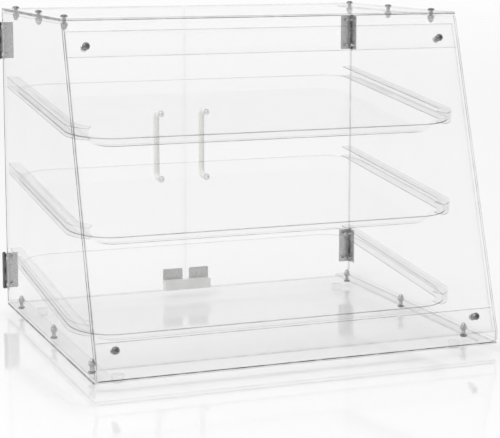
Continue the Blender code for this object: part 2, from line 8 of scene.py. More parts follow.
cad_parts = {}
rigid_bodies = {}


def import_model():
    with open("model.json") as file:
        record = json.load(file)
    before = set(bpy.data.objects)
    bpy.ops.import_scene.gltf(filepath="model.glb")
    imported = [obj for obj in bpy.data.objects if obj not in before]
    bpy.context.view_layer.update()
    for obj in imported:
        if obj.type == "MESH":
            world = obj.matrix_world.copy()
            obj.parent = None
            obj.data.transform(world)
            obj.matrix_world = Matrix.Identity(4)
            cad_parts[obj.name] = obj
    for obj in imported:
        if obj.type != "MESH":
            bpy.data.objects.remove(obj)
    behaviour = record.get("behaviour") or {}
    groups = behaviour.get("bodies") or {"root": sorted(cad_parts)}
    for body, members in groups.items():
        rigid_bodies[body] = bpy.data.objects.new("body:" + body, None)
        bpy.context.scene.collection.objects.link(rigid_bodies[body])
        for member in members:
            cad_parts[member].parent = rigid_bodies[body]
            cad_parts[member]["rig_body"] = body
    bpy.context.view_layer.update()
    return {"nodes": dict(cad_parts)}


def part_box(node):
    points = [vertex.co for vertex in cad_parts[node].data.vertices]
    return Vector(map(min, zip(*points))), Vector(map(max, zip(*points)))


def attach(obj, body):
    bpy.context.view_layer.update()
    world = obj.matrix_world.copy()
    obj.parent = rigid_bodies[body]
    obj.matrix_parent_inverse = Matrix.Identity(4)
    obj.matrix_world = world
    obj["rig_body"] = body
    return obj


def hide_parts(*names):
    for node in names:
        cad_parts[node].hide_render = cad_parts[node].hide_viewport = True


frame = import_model()
nodes = frame["nodes"]

mm = 0.001
out_of_reach = 10.0
sheet = 3 * mm
formed_wall = 2 * mm
screw_gap = 0.3 * mm
front_lean = math.radians(17.75)
tray_tilt = math.radians(6.1)
slope_out = Vector((0, -math.cos(front_lean), math.sin(front_lean)))
slope_down = Vector((0, -math.sin(front_lean), -math.cos(front_lean)))
shelf_along = Vector((0, math.cos(tray_tilt), math.sin(tray_tilt)))
shelf_up = Vector((0, -math.sin(tray_tilt), math.cos(tray_tilt)))
axis_x, axis_y, axis_z = Vector((1, 0, 0)), Vector((0, 1, 0)), Vector((0, 0, 1))
shelves = ("bottom", "middle", "top")
sides = {"left": -1, "right": 1}


# Mesh helpers
def reach(name, direction):
    """How far a CAD node runs along a direction: its least and its greatest distance."""
    distances = [v.co.dot(direction) for v in nodes[name].data.vertices]
    return min(distances), max(distances)


def add_piece(name, bm, material, like, smooth_angle=35):
    """Link the mesh as a piece that rides on the body of the CAD node it stands for."""
    bmesh.ops.recalc_face_normals(bm, faces=bm.faces)
    mesh = bpy.data.meshes.new(name)
    bm.to_mesh(mesh)
    bm.free()
    mesh.materials.append(material)
    mesh.shade_smooth()
    mesh.set_sharp_from_angle(angle=math.radians(smooth_angle))
    piece = bpy.data.objects.new(name, mesh)
    bpy.context.scene.collection.objects.link(piece)
    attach(piece, nodes[like]["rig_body"])
    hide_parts(like)
    return piece


def skin(bm, rings):
    """A closed skin through rings of equally many points, with a face on each end."""
    loops = [[bm.verts.new(point) for point in ring] for ring in rings]
    count = len(loops[0])
    bm.faces.new(loops[0])
    bm.faces.new(loops[-1])
    for lower, upper in zip(loops, loops[1:]):
        for index in range(count):
            after = (index + 1) % count
            bm.faces.new((lower[index], lower[after], upper[after], upper[index]))


def facing(point, direction):
    """A placement whose local Z runs along direction from point."""
    return Matrix.Translation(point) @ direction.to_track_quat("Z", "Y").to_matrix().to_4x4()


def turned(bm, profile, placement, steps=36, hexes=()):
    """Turn (radius, height) pairs about local Z. Rings listed in hexes have flats at their radius."""
    rings = []
    for number, (radius, height) in enumerate(profile):
        ring = []
        for step in range(steps):
            angle = math.tau * step / steps
            spread = radius
            if number in hexes:
                from_flat = (angle + math.pi / 6) % (math.pi / 3) - math.pi / 6
                spread = radius / math.cos(from_flat)
            ring.append(placement @ Vector((spread * math.cos(angle), spread * math.sin(angle), height)))
        rings.append(ring)
    skin(bm, rings)


def rounded_outline(low, high, radius, steps):
    """Points of a flat rectangle with round corners, running anticlockwise."""
    centres = ((high[0] - radius, high[1] - radius), (low[0] + radius, high[1] - radius),
               (low[0] + radius, low[1] + radius), (high[0] - radius, low[1] + radius))
    outline = []
    for corner, (u, v) in enumerate(centres):
        for step in range(steps + 1):
            angle = math.pi / 2 * (corner + step / steps)
            outline.append((u + radius * math.cos(angle), v + radius * math.sin(angle)))
    return outline


def carve(piece, bm):
    """Take the closed shape in bm out of a finished piece."""
    mesh = bpy.data.meshes.new("cutter")
    bmesh.ops.recalc_face_normals(bm, faces=bm.faces)
    bm.to_mesh(mesh)
    bm.free()
    cutter = bpy.data.objects.new("cutter", mesh)
    bpy.context.scene.collection.objects.link(cutter)
    modifier = piece.modifiers.new("carve", "BOOLEAN")
    modifier.operation = "DIFFERENCE"
    modifier.solver = "EXACT"
    modifier.object = cutter
    carved = piece.evaluated_get(bpy.context.evaluated_depsgraph_get())
    piece.data = bpy.data.meshes.new_from_object(carved)
    piece.modifiers.clear()
    bpy.data.objects.remove(cutter)


# Shader helpers
def new_material(name):
    material = bpy.data.materials.new(name)
    material.use_nodes = True
    return material, material.node_tree, material.node_tree.nodes["Principled BSDF"]


def add(tree, kind, inputs=(), **settings):
    """A node with its settings made and its inputs linked or set."""
    node = tree.nodes.new("ShaderNode" + kind)
    for key, value in settings.items():
        setattr(node, key, value)
    for key, value in dict(inputs).items():
        if isinstance(value, bpy.types.NodeSocket):
            tree.links.new(value, node.inputs[key])
        else:
            node.inputs[key].default_value = value
    return node


def math_node(tree, operation, *values):
    return add(tree, "Math", enumerate(values), operation=operation).outputs[0]


def dot_node(tree, vector, direction):
    """How far a vector runs along a direction."""
    return add(tree, "VectorMath", {0: vector, 1: direction}, operation="DOT_PRODUCT").outputs["Value"]


def ramp(tree, value, start, end, low, high):
    """Values from low to high as value goes from start to end."""
    return add(tree, "MapRange", {"Value": value, "From Min": start, "From Max": end,
                                  "To Min": low, "To Max": high}).outputs[0]


def grey(level):
    return (level, level, level, 1)


def blend_colour(tree, share, low, high):
    return add(tree, "Mix", {0: share, 6: low, 7: high}, data_type="RGBA").outputs[2]


def new_group(name, inputs, outputs):
    """A shader node group; returns it with its input sockets and its output sockets."""
    group = bpy.data.node_groups.new(name, "ShaderNodeTree")
    for title, kind in inputs:
        group.interface.new_socket(title, in_out="INPUT", socket_type="NodeSocket" + kind)
    for title in outputs:
        group.interface.new_socket(title, in_out="OUTPUT", socket_type="NodeSocketFloat")
    return group, group.nodes.new("NodeGroupInput").outputs, group.nodes.new("NodeGroupOutput").inputs


def make_cut_edges():
    """How dark the painted shade on the sheet's cut edges and bends is. Each lies beyond a plane.

    The crest of a bend and the middle of a cut edge are painted lighter.
    """
    inputs = []
    for side in "ABCDEF":
        inputs += [(f"Direction {side}", "Vector"), (f"Distance {side}", "Float"),
                   (f"Crest {side}", "Float"), (f"Strength {side}", "Float")]
    inputs += [("Through", "Vector"), ("Middle", "Float"), ("Core", "Float")]
    group, given, result = new_group("cut_edges", inputs, ("Mask", "Near"))
    place = add(group, "TexCoord").outputs["Object"]
    mask = furthest = None
    for side in "ABCDEF":
        along = dot_node(group, place, given[f"Direction {side}"])
        beyond = math_node(group, "SUBTRACT", along, given[f"Distance {side}"])
        inside = math_node(group, "GREATER_THAN", beyond, 0.0)
        crest = math_node(group, "GREATER_THAN", along, given[f"Crest {side}"])
        line = math_node(group, "SUBTRACT", inside, math_node(group, "MULTIPLY", crest, 0.75))
        line = math_node(group, "MULTIPLY", line, given[f"Strength {side}"])
        mask = line if mask is None else math_node(group, "MAXIMUM", mask, line)
        furthest = beyond if furthest is None else math_node(group, "MAXIMUM", furthest, beyond)
    depth = dot_node(group, place, given["Through"])
    from_middle = math_node(group, "ABSOLUTE", math_node(group, "SUBTRACT", depth, given["Middle"]))
    core = math_node(group, "LESS_THAN", from_middle, given["Core"])
    mask = math_node(group, "MULTIPLY", mask, ramp(group, core, 0.0, 1.0, 1.0, 0.15))
    group.links.new(mask, result["Mask"])
    # Near grows towards the edges, for a faint painted shade beside them.
    near_band = 12 * mm
    near = ramp(group, furthest, -near_band, 0.0, 0.0, 1.0)
    group.links.new(math_node(group, "POWER", near, 2.0), result["Near"])
    return group


def make_handling_marks():
    """Faint wipe marks and dust of handled plastic, as one value round 0.5."""
    group, given, result = new_group("handling_marks", [("Scale", "Float")], ("Marks",))
    place = add(group, "TexCoord").outputs["Object"]
    wide = add(group, "TexNoise", {"Vector": place, "Scale": given["Scale"], "Detail": 3.0,
                                   "Distortion": 0.8}).outputs["Fac"]
    stretched = add(group, "Mapping", {"Vector": place, "Scale": (1.0, 1.0, 14.0)}).outputs["Vector"]
    fine = add(group, "TexNoise", {"Vector": stretched, "Scale": 60.0, "Detail": 2.0}).outputs["Fac"]
    mixed = math_node(group, "ADD", math_node(group, "MULTIPLY", wide, 0.75),
                      math_node(group, "MULTIPLY", fine, 0.25))
    group.links.new(mixed, result["Marks"])
    return group


def make_edge_glints():
    """Broken light and dark along a polished edge, from 0 to 1."""
    group, given, result = new_group("edge_glints", [("Scale", "Float")], ("Glints",))
    place = add(group, "TexCoord").outputs["Object"]
    noise = add(group, "TexNoise", {"Vector": place, "Scale": given["Scale"],
                                    "Detail": 1.0}).outputs["Fac"]
    group.links.new(ramp(group, noise, 0.38, 0.62, 0.0, 1.0), result["Glints"])
    return group


def make_face_lines():
    """Lines of painted shade where a moulding's side faces end, and where its front turns under.

    The side faces' lines lie near a low and a high plane.
    """
    inputs = [("Direction", "Vector"), ("Low", "Float"), ("High", "Float"), ("Width", "Float"),
              ("Foot", "Float")]
    group, given, result = new_group("face_lines", inputs, ("Mask", "Side", "Turn"))
    coordinates = add(group, "TexCoord").outputs
    level = dot_node(group, coordinates["Object"], given["Direction"])
    steep = dot_node(group, coordinates["Normal"], given["Direction"])
    ahead = dot_node(group, coordinates["Normal"], shelf_along)
    under_front = math_node(group, "MULTIPLY", math_node(group, "LESS_THAN", ahead, -0.1),
                            math_node(group, "LESS_THAN", steep, 0.0))
    steep = math_node(group, "ABSOLUTE", steep)
    side = math_node(group, "LESS_THAN", steep, 0.35)
    turning = math_node(group, "MULTIPLY", ramp(group, steep, 0.99, 0.96, 0.0, 1.0),
                        ramp(group, steep, 0.76, 0.82, 0.0, 1.0))
    low_down = math_node(group, "LESS_THAN", level, given["Foot"])
    low_down = math_node(group, "MULTIPLY", under_front, low_down)
    group.links.new(math_node(group, "MULTIPLY", turning, low_down), result["Turn"])
    from_low = math_node(group, "ABSOLUTE", math_node(group, "SUBTRACT", level, given["Low"]))
    from_high = math_node(group, "ABSOLUTE", math_node(group, "SUBTRACT", level, given["High"]))
    near = math_node(group, "LESS_THAN", math_node(group, "MINIMUM", from_low, from_high), given["Width"])
    group.links.new(math_node(group, "MULTIPLY", near, side), result["Mask"])
    group.links.new(side, result["Side"])
    return group


cut_edges = make_cut_edges()
handling_marks = make_handling_marks()
edge_glints = make_edge_glints()
face_lines = make_face_lines()


def seen_outside(tree, alpha, inside_share):
    """Less of a surface's tone where it is seen from inside the plastic."""
    inside = add(tree, "NewGeometry").outputs["Backfacing"]
    return math_node(tree, "MULTIPLY", alpha, ramp(tree, inside, 0.0, 1.0, 1.0, inside_share))


def clear_sheet_material(name, edges, through, face_alpha=0.013, grazing_alpha=0.22):
    """Clear cast sheet: hardly seen from in front, with painted shade that is greyer at a low angle and
    dark at its cut edges.
    """
    material, tree, shader = new_material("clear_sheet_" + name)
    lines = add(tree, "Group", node_tree=cut_edges)
    for number, side in enumerate("ABCDEF"):
        direction, strength, margin, crest = edges[number] if number < len(edges) else (axis_x, 0, 0, 1)
        furthest = reach(name, direction)[1] if strength else out_of_reach
        lines.inputs[f"Direction {side}"].default_value = direction
        lines.inputs[f"Distance {side}"].default_value = furthest - margin
        crest_start = furthest - margin * crest if crest < 1 else out_of_reach
        lines.inputs[f"Crest {side}"].default_value = crest_start
        lines.inputs[f"Strength {side}"].default_value = strength
    lines.inputs["Through"].default_value = through
    lines.inputs["Middle"].default_value = reach(name, through)[1] - sheet / 2
    lines.inputs["Core"].default_value = edge_core if "side" in name else 0
    marks = add(tree, "Group", {"Scale": 9.0}, node_tree=handling_marks).outputs["Marks"]
    glints = add(tree, "Group", {"Scale": 55.0}, node_tree=edge_glints).outputs["Glints"]
    facing_share = add(tree, "LayerWeight", {"Blend": 0.5}).outputs["Facing"]
    # Painted shade: the face turns greyer at a low angle.
    face = ramp(tree, math_node(tree, "POWER", facing_share, 3.0), 0.0, 1.0, face_alpha, grazing_alpha)
    face = math_node(tree, "MULTIPLY", face, ramp(tree, marks, 0.3, 0.7, 0.75, 1.25))
    # Painted shade: a faint grey near the edges.
    face = math_node(tree, "ADD", face, math_node(tree, "MULTIPLY", lines.outputs["Near"], 0.03))
    edge = math_node(tree, "MULTIPLY", lines.outputs["Mask"], ramp(tree, glints, 0.0, 1.0, 0.75, 1.1))
    alpha = seen_outside(tree, math_node(tree, "MAXIMUM", face, edge), 0.15)
    tree.links.new(alpha, shader.inputs["Alpha"])
    # Painted shade: the cut edges and bends take a dark tone.
    on_edge = math_node(tree, "GREATER_THAN", lines.outputs["Mask"], 0.01)
    tree.links.new(blend_colour(tree, on_edge, grey(0.42), (0.1, 0.105, 0.11, 1)),
                   shader.inputs["Base Color"])
    tree.links.new(ramp(tree, marks, 0.3, 0.7, 0.04, 0.12), shader.inputs["Roughness"])
    shader.inputs["IOR"].default_value = 1.49
    return material


def clear_moulding_material(name, parts, face_alpha, side_alpha, line_alpha, power=11.0, tone=0.35):
    """Clear formed plastic: its side faces and turned edges show as painted grey shade, its flat faces
    hardly show.
    """
    material, tree, shader = new_material(name)
    low, high, width, foot = parts
    planes = {"Direction": shelf_up, "Low": low, "High": high, "Width": width, "Foot": foot}
    lines = add(tree, "Group", planes, node_tree=face_lines).outputs
    marks = add(tree, "Group", {"Scale": 14.0}, node_tree=handling_marks).outputs["Marks"]
    glints = add(tree, "Group", {"Scale": 30.0}, node_tree=edge_glints).outputs["Glints"]
    facing_share = add(tree, "LayerWeight", {"Blend": 0.5}).outputs["Facing"]
    # Painted shade: faces turned away from view grow grey.
    turned_away = ramp(tree, math_node(tree, "POWER", facing_share, power), 0.0, 1.0, face_alpha, 0.8)
    face = math_node(tree, "MULTIPLY", turned_away, ramp(tree, marks, 0.3, 0.7, 0.75, 1.25))
    # Painted shade on the side faces, broken by glints.
    side = math_node(tree, "MULTIPLY", lines["Side"],
                     ramp(tree, glints, 0.0, 1.0, side_alpha * 0.8, side_alpha))
    # Painted shade lines where the side faces end and where the front turns under.
    line = math_node(tree, "MAXIMUM", lines["Mask"], math_node(tree, "MULTIPLY", lines["Turn"], 0.8))
    strength = math_node(tree, "MULTIPLY", ramp(tree, facing_share, 0.0, 0.7, line_alpha, 0.95),
                         ramp(tree, glints, 0.0, 1.0, 0.8, 1.0))
    shown = math_node(tree, "MAXIMUM", side, math_node(tree, "MULTIPLY", line, strength))
    shown = math_node(tree, "MAXIMUM", face, shown)
    tree.links.new(seen_outside(tree, shown, 0.3), shader.inputs["Alpha"])
    # Painted shade: the lines take a dark tone, the other shade a grey one.
    tree.links.new(blend_colour(tree, line, grey(tone), grey(0.08)), shader.inputs["Base Color"])
    tree.links.new(ramp(tree, marks, 0.3, 0.7, 0.06, 0.16), shader.inputs["Roughness"])
    shader.inputs["IOR"].default_value = 1.5
    return material


def clear_rubber_material():
    """Clear bumper rubber, cloudier at its skirt."""
    material, tree, shader = new_material("clear_bumper_rubber")
    marks = add(tree, "Group", {"Scale": 40.0}, node_tree=handling_marks).outputs["Marks"]
    facing_share = add(tree, "LayerWeight", {"Blend": 0.5}).outputs["Facing"]
    cloud = ramp(tree, math_node(tree, "POWER", facing_share, 3.0), 0.0, 1.0, 0.08, 0.5)
    cloud = math_node(tree, "MULTIPLY", cloud, ramp(tree, marks, 0.3, 0.7, 0.8, 1.2))
    tree.links.new(seen_outside(tree, cloud, 0.3), shader.inputs["Alpha"])
    tree.links.new(blend_colour(tree, marks, grey(0.5), grey(0.6)), shader.inputs["Base Color"])
    shader.inputs["Roughness"].default_value = 0.3
    return material


def metal_material(name, low, high, roughness, scale=220.0, stretch=(1, 1, 1)):
    """Plated steel with a fine grain and a little change in tone."""
    material, tree, shader = new_material(name)
    place = add(tree, "TexCoord").outputs["Object"]
    stretched = add(tree, "Mapping", {"Vector": place, "Scale": stretch}).outputs["Vector"]
    grain = add(tree, "TexNoise", {"Vector": stretched, "Scale": scale, "Detail": 4.0}).outputs["Fac"]
    tree.links.new(blend_colour(tree, ramp(tree, grain, 0.35, 0.65, 0.0, 1.0), grey(low), grey(high)),
                   shader.inputs["Base Color"])
    tree.links.new(ramp(tree, grain, 0.3, 0.7, roughness * 0.8, roughness * 1.2),
                   shader.inputs["Roughness"])
    shader.inputs["Metallic"].default_value = 1.0
    bump = add(tree, "Bump", {"Height": grain, "Strength": 0.05, "Distance": 0.0002})
    tree.links.new(bump.outputs[0], shader.inputs["Normal"])
    return material


def plastic_material(name, low, high, roughness, scale=90.0):
    """Moulded opaque plastic with a fine surface texture."""
    material, tree, shader = new_material(name)
    place = add(tree, "TexCoord").outputs["Object"]
    grain = add(tree, "TexNoise", {"Vector": place, "Scale": scale, "Detail": 5.0}).outputs["Fac"]
    tree.links.new(blend_colour(tree, ramp(tree, grain, 0.35, 0.65, 0.0, 1.0), (*low, 1), (*high, 1)),
                   shader.inputs["Base Color"])
    tree.links.new(ramp(tree, grain, 0.3, 0.7, roughness * 0.85, roughness * 1.15),
                   shader.inputs["Roughness"])
    bump = add(tree, "Bump", {"Height": grain, "Strength": 0.08, "Distance": 0.0002})
    tree.links.new(bump.outputs[0], shader.inputs["Normal"])
    return material


# Clear sheets
cut = 0.3 * mm
slanted_cut = 1.1 * mm
edge_core = 0.9 * mm
bend = 0.5 * mm
toe_bend = 1.0 * mm
foot_bend = 0.9 * mm
flange_line = 0.1 * mm
knee = (slope_out + axis_z).normalized()
toe = (-axis_y - axis_z).normalized()

# For each sheet, the direction through it and then its edges and bends, with painted shade. Each has a
# direction, a strength of painted shade, a margin, and the outer share of the margin painted lighter, or
# 1 for none.
sheet_edges = {
    "top_panel": (axis_z, (axis_x, 0.95, cut, 1), (-axis_x, 0.95, cut, 1), (axis_y, 0.6, cut, 1),
                  (slope_down, 0.4, cut, 1), (knee, 0.95, bend, 0.4)),
    "base_panel": (-axis_z, (axis_x, 1.0, cut, 1), (-axis_x, 1.0, cut, 1), (axis_y, 0.6, cut, 1),
                   (axis_z, 0.4, slanted_cut, 1), (toe, 1.0, toe_bend, 0.3),
                   ((-axis_y + slope_out).normalized(), 0.25, flange_line, 1)),
    "front_panel": (slope_out, (axis_x, 0.5, cut, 1), (-axis_x, 0.5, cut, 1),
                    (axis_z, 0.3, slanted_cut, 1), (-axis_z, 0.25, slanted_cut, 1)),
}
for side_name, side in sides.items():
    outside = axis_x * side
    # The left panel's slanted edge gets more painted shade than the right one's.
    slope_strength = 0.9 if side_name == "left" else 0.6
    sheet_edges[f"{side_name}_side_panel"] = (
        outside, (slope_out, slope_strength, cut, 1), (axis_y, 0.7, cut, 1), (-axis_y, 0.7, cut, 1),
        (-outside, 0.2, cut, 1), ((outside - axis_z).normalized(), 1.0, foot_bend, 0.3),
        ((outside + axis_z).normalized(), 0.8, bend, 0.5))
    # A door's outer edge gets more painted shade than its inner edge.
    sheet_edges[f"{side_name}_door_panel"] = (
        axis_y, (outside, 0.9, cut, 1), (-outside, 0.1, cut, 1), (axis_z, 0.3, cut, 1),
        (-axis_z, 0.3, cut, 1))
for name, (through, *edges) in sheet_edges.items():
    nodes[name].material_slots[0].material = clear_sheet_material(name, edges, through)


# Trays and their guides
def make_tray(shelf):
    """A shallow formed tray: flat rim, sloping walls and a well with soft corners."""
    name = f"{shelf}_tray"
    half = reach(name, axis_x)[1]
    front, rear = reach(name, shelf_along)
    bottom, top = reach(name, shelf_up)
    wall, depth, slope = formed_wall, 15 * mm, math.radians(52)
    rim_radius, well_radius = 54 * mm, 38 * mm
    floor_line = 5 * mm
    rim_fillet, floor_fillet = 4 * mm, 12 * mm
    side_rim, end_rim = 19 * mm, 6 * mm
    lip = 0.35 * mm

    def ring(inset, radius, height, side_inset=0.0, end_inset=0.0):
        low = (-half + side_inset + inset, front + end_inset + inset)
        high = (half - side_inset - inset, rear - end_inset - inset)
        return [axis_x * x + shelf_along * along + shelf_up * (top + height)
                for x, along in rounded_outline(low, high, radius - inset, 14)]

    def well(inset, height):
        return ring(inset, well_radius, height, side_rim, end_rim)

    profile = []
    for step in range(6):
        turn = slope * step / 5
        profile.append((rim_fillet * math.sin(turn), rim_fillet * (1 - math.cos(turn)), turn))
    fillets = (rim_fillet + floor_fillet) * (1 - math.cos(slope))
    straight = (depth - fillets) / math.sin(slope)
    inset = profile[-1][0] + straight * math.cos(slope)
    drop = profile[-1][1] + straight * math.sin(slope)
    for step in range(10):
        turn = slope * (1 - step / 9)
        profile.append((inset + floor_fillet * (math.sin(slope) - math.sin(turn)),
                        drop + floor_fillet * (math.cos(turn) - math.cos(slope)), turn))
    rings = [well(inset, -drop) for inset, drop, _ in profile[::-1]]
    for step in range(4):
        turn = math.pi / 2 * step / 3
        rings.append(ring(lip * (1 - math.sin(turn)), rim_radius, -lip * (1 - math.cos(turn))))
    for step in range(4):
        turn = math.pi / 2 * step / 3
        rings.append(ring(lip * (1 - math.cos(turn)), rim_radius, -wall + lip * (1 - math.sin(turn))))
    for inset, drop, turn in profile:
        rings.append(well(inset - wall * math.sin(turn), -drop - wall * math.cos(turn)))
    bm = bmesh.new()
    skin(bm, rings)
    rim = top - wall / 2
    # Painted shade on the rim's outer face, and a painted line where the well's front turns under.
    finish = clear_moulding_material(f"clear_tray_{shelf}", (rim, rim, wall, bottom + floor_line),
                                     0.008, 0.5, 0.4)
    add_piece(f"{shelf}_tray_formed", bm, finish, name)


def make_guide(shelf, side_name, side, finish):
    """A channel that opens inwards, with soft edges, and hooks round the tray's front corner."""
    name = f"{shelf}_{side_name}_tray_guide"
    outer = reach(name, axis_x * side)[1]
    first, last = reach(name, shelf_along)
    foot, head = reach(name, shelf_up)
    radius, turn = 39.5 * mm, math.radians(62.7)
    centre = Vector((outer - radius, first + radius * math.sin(turn)))
    wall, depth, tall, soft = formed_wall, 15.5 * mm, head - foot, 0.6 * mm
    stations = [(Vector((outer, last)), Vector((-1, 0)))]
    for step in range(17):
        angle = turn * step / 16
        outward = Vector((math.cos(angle), -math.sin(angle)))
        stations.append((centre + outward * radius, -outward))
    corners = ((0, 0), (depth, 0), (depth, wall), (wall, wall), (wall, tall - wall),
               (depth, tall - wall), (depth, tall), (0, tall))
    section = []
    for index, corner in enumerate(corners):
        point = Vector(corner)
        before = (Vector(corners[index - 1]) - point).normalized() * soft
        after = (Vector(corners[(index + 1) % len(corners)]) - point).normalized() * soft
        section += [point + before, point + before * 0.38 + after * 0.08,
                    point + after * 0.38 + before * 0.08, point + after]
    rings = []
    for point, inward in stations:
        ring = []
        for reach_in, height in section:
            spot = point + inward * reach_in
            ring.append(axis_x * side * spot.x + shelf_along * spot.y + shelf_up * (foot + height))
        rings.append(ring)
    bm = bmesh.new()
    skin(bm, rings)
    add_piece(f"{name}_channel", bm, finish, name)


guide_line = 1 * mm
for shelf in shelves:
    make_tray(shelf)
    foot, head = reach(f"{shelf}_left_tray_guide", shelf_up)
    planes = (foot, head, guide_line, -out_of_reach)
    # Painted shade on the guide's side faces, with painted lines at its top and bottom.
    guide_finish = clear_moulding_material(f"clear_guide_{shelf}", planes,
                                           0.02, 0.1, 0.3, 6.0, 0.45)
    for side_name, side in sides.items():
        make_guide(shelf, side_name, side, guide_finish)


# Screws and feet
screw_steel = metal_material("screw_steel", 0.16, 0.34, 0.2)
nut_steel = metal_material("nut_steel", 0.45, 0.6, 0.2)


def make_case_screw(name, outward):
    """A button-head screw with a hex socket, tightened into its acorn nut."""
    across_a = axis_x
    across_b = outward.cross(axis_x)
    radius, rise, socket_radius, socket_floor = 4.75 * mm, 2.9 * mm, 1.75 * mm, 1.1 * mm
    seat = reach(name, outward)[1] - rise - screw_gap
    middle = [sum(reach(name, across)) / 2 for across in (across_a, across_b)]
    point = across_a * middle[0] + across_b * middle[1] + outward * seat
    skirt = 0.3 * mm
    profile = []
    for step in range(8):
        angle = math.pi / 2 * (1 - step / 7)
        profile.append((radius * (0.42 + 0.58 * math.cos(angle)),
                        screw_gap + skirt + (rise - skirt) * math.sin(angle)))
    face, flat, shank = -6.6 * mm, 4 * mm, 2.5 * mm
    chamfer, nut_height, dome = 0.5 * mm, 4.7 * mm, 4.8 * mm
    profile += [(radius, screw_gap), (shank, screw_gap), (shank, face), (flat * 0.9, face),
                (flat, face - chamfer), (flat, face - nut_height + chamfer),
                (flat * 0.93, face - nut_height)]
    hexes = (len(profile) - 3, len(profile) - 2)
    for step in range(1, 8):
        angle = math.pi / 2 * step / 7.4
        profile.append((flat * 0.9 * math.cos(angle), face - nut_height - dome * math.sin(angle)))
    bm = bmesh.new()
    turned(bm, profile, facing(point, outward), hexes=hexes)
    screw = add_piece(f"{name}_and_nut", bm, screw_steel, name)
    screw.data.materials.append(nut_steel)
    for polygon in screw.data.polygons:
        polygon.material_index = int(polygon.center.dot(outward) < seat)
    bm = bmesh.new()
    past_head = 5 * mm
    socket = ((socket_radius, socket_floor), (socket_radius, past_head))
    turned(bm, socket, facing(point, outward), 6)
    carve(screw, bm)


def make_foot(name):
    """A clear bumper foot with a rounded sole."""
    low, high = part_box(name)
    middle = (low + high) / 2
    radius, height = (high.x - low.x) / 2, high.z - low.z
    crown, sole_edge = 0.1 * mm, 1.6 * mm
    profile = [(radius * 0.02, 0), (radius * 0.62, crown)]
    for step in range(7):
        angle = math.pi / 2 * step / 6
        profile.append((radius * (0.72 + 0.13 * math.sin(angle)),
                        sole_edge * (1 - math.cos(angle)) + crown))
    skirt_foot, skirt_start, skirt_end = 1.6 * mm, 1 * mm, 0.2 * mm
    profile += [(radius * 0.97, height - skirt_foot), (radius, height - skirt_start),
                (radius, height - skirt_end), (radius * 0.97, height)]
    bm = bmesh.new()
    turned(bm, profile, Matrix.Translation((middle.x, middle.y, low.z)))
    add_piece(f"{name}_bumper", bm, foot_rubber, name)


foot_rubber = clear_rubber_material()
for name in sorted(nodes):
    if name.endswith("_foot"):
        make_foot(name)
    elif name.endswith("_screw") and "handle" not in name:
        outward = {"top": axis_z, "bas": -axis_z, "fro": slope_out}[name[:3]]
        make_case_screw(name, outward)


# Doors' fittings
def make_handle(side_name):
    """A bow handle with flared feet and round elbows."""
    name = f"{side_name}_door_handle"
    low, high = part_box(name)
    middle = (low.x + high.x) / 2
    radius, flare, elbow = 4.3 * mm, 4.9 * mm, 9 * mm
    feet = (low.z + flare, high.z - flare)
    grip = high.y - radius
    foot = low.y

    def ring(depth, height, lean, size):
        points = []
        for step in range(28):
            angle = math.tau * step / 28
            over = size * math.sin(angle)
            points.append((middle + size * math.cos(angle), depth - over * math.sin(lean),
                           height + over * math.cos(lean)))
        return points

    flares = [(0.0, 0.965), (0.3, 1.0), (1.2, 0.985), (2.2, 0.93), (3.2, 0.885), (4.2, radius / flare)]
    rings = [ring(foot + out * mm, feet[0], 0, flare * share) for out, share in flares]
    for step in range(13):
        lean = math.pi / 2 * step / 12
        rings.append(ring(grip - elbow * (1 - math.sin(lean)), feet[0] + elbow * (1 - math.cos(lean)),
                          lean, radius))
    for step in range(13):
        lean = math.pi / 2 * (1 + step / 12)
        rings.append(ring(grip - elbow * (1 - math.sin(lean)), feet[1] - elbow * (1 + math.cos(lean)),
                          lean, radius))
    rings += [ring(foot + out * mm, feet[1], math.pi, flare * share) for out, share in flares[::-1]]
    bm = bmesh.new()
    skin(bm, rings)
    handle = add_piece(f"{name}_bow", bm, handle_plastic, name)
    bore, before_foot, bore_end = 1.8 * mm, -1 * mm, 10 * mm
    for height in feet:
        bm = bmesh.new()
        turned(bm, ((bore, before_foot), (bore, bore_end)),
               facing(Vector((middle, foot, height)), axis_y), 24)
        carve(handle, bm)


def make_handle_screw(name):
    """A pan-head screw with a cross recess, its head on the inside of the door."""
    low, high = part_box(name)
    head_height, head_radius, rise, shank = 2 * mm, 3.4 * mm, 1.5 * mm, 1.5 * mm
    point = Vector(((low.x + high.x) / 2, low.y + head_height, (low.z + high.z) / 2))
    profile = []
    for step in range(7):
        angle = math.pi / 2 * (1 - step / 6)
        profile.append((head_radius * (0.35 + 0.65 * math.cos(angle)),
                        head_height - rise * (1 - math.sin(angle))))
    end = -(high.y - point.y)
    tip_length, tip_radius = 0.6 * mm, 0.9 * mm
    profile += [(head_radius, screw_gap), (shank, screw_gap), (shank, end + tip_length),
                (tip_radius, end)]
    bm = bmesh.new()
    turned(bm, profile, facing(point, -axis_y), 28)
    screw = add_piece(f"{name}_pan_head", bm, handle_screw_steel, name)
    slot_length, slot_width, slot_floor, past_head = 2.6 * mm, 0.6 * mm, -0.9 * mm, -3 * mm
    for wide, tall in ((slot_length, slot_width), (slot_width, slot_length)):
        bm = bmesh.new()
        outline = ((-wide, -tall), (wide, -tall), (wide, tall), (-wide, tall))
        skin(bm, [[point + Vector((x / 2, depth, z / 2)) for x, z in outline]
                  for depth in (slot_floor, past_head)])
        carve(screw, bm)


def soften(node, width, segments=3):
    """Round a CAD node's hard edges a little."""
    modifier = node.modifiers.new("soft_edges", "BEVEL")
    modifier.width = width
    modifier.segments = segments
    modifier.limit_method = "ANGLE"
    modifier.angle_limit = math.radians(40)
    modifier.harden_normals = True


